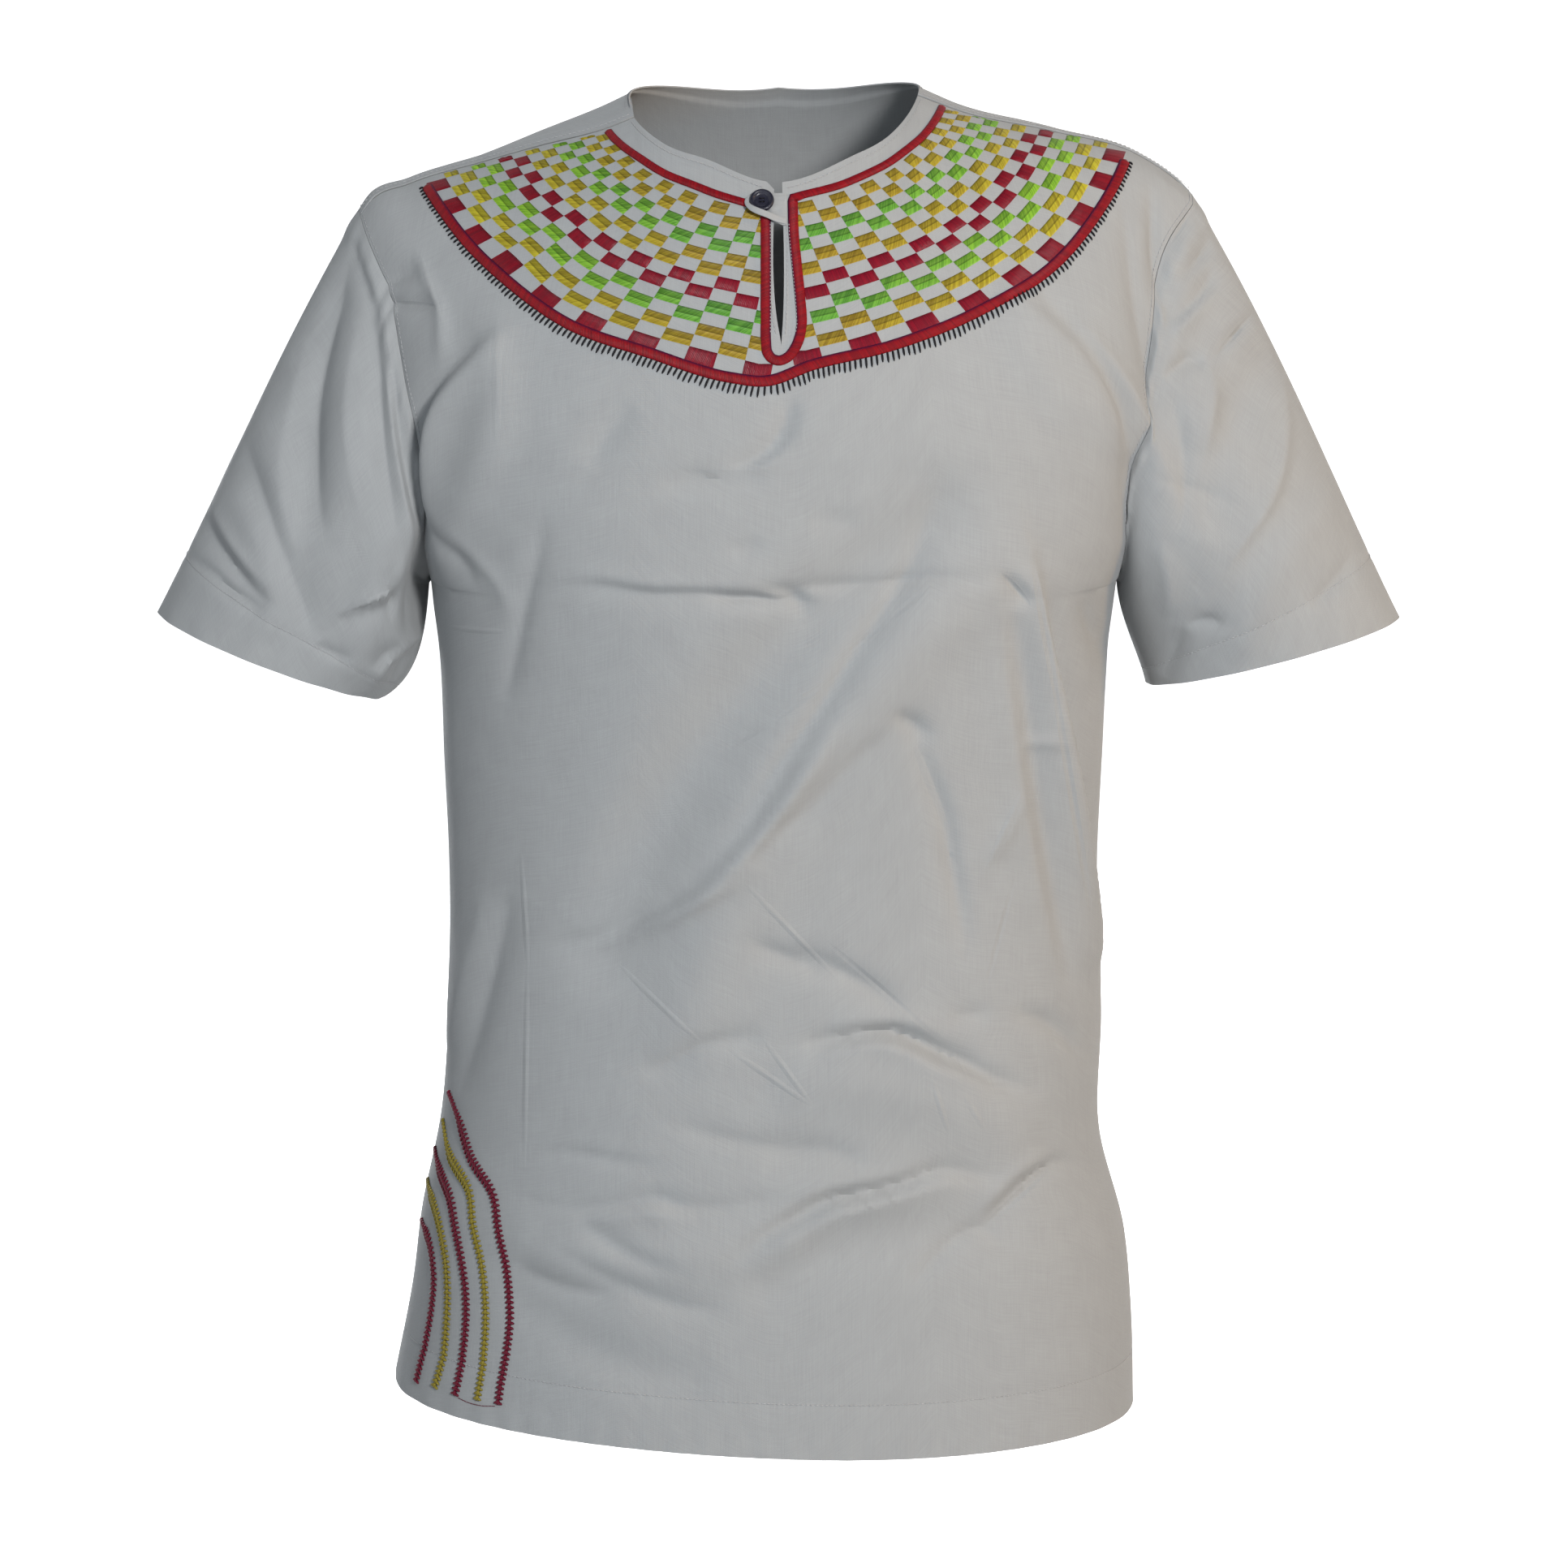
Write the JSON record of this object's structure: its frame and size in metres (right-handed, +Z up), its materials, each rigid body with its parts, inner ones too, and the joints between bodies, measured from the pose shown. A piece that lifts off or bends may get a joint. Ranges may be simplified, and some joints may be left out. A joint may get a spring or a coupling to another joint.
{
  "type": "dashiki shirt",
  "caption": "Short-sleeved grey cotton dashiki tunic with a round neck, a buttoned front slit and an embroidered checked yoke, filled out as worn.",
  "frame": {"origin": "between the shoulders, level with the side of the neck, on the shoulder ridge's line: where the wearer holds the shirt up", "axes": "+Z up, -Y out of the shirt's front, +X to the right of someone who looks at the front"},
  "size_m": [0.684, 0.274, 0.7317],
  "materials": {
    "grey_cotton": "plain weave, faint sheen",
    "red_satin_thread": "satin stitched cord",
    "black_button": "polished",
    "gold_satin_thread": "satin stitched blocks and line",
    "green_satin_thread": "satin stitched blocks",
    "black_thread": "straight comb stitches"
  },
  "bodies": {
    "root": {"front_panel": "grey_cotton", "back_panel": "grey_cotton", "sleeve_left": "grey_cotton", "sleeve_right": "grey_cotton", "neck_cord_left": "red_satin_thread", "neck_cord_right": "red_satin_thread", "yoke_cord": "red_satin_thread", "button": "black_button", "button_loop": "grey_cotton"}
  },
  "joints": []
}
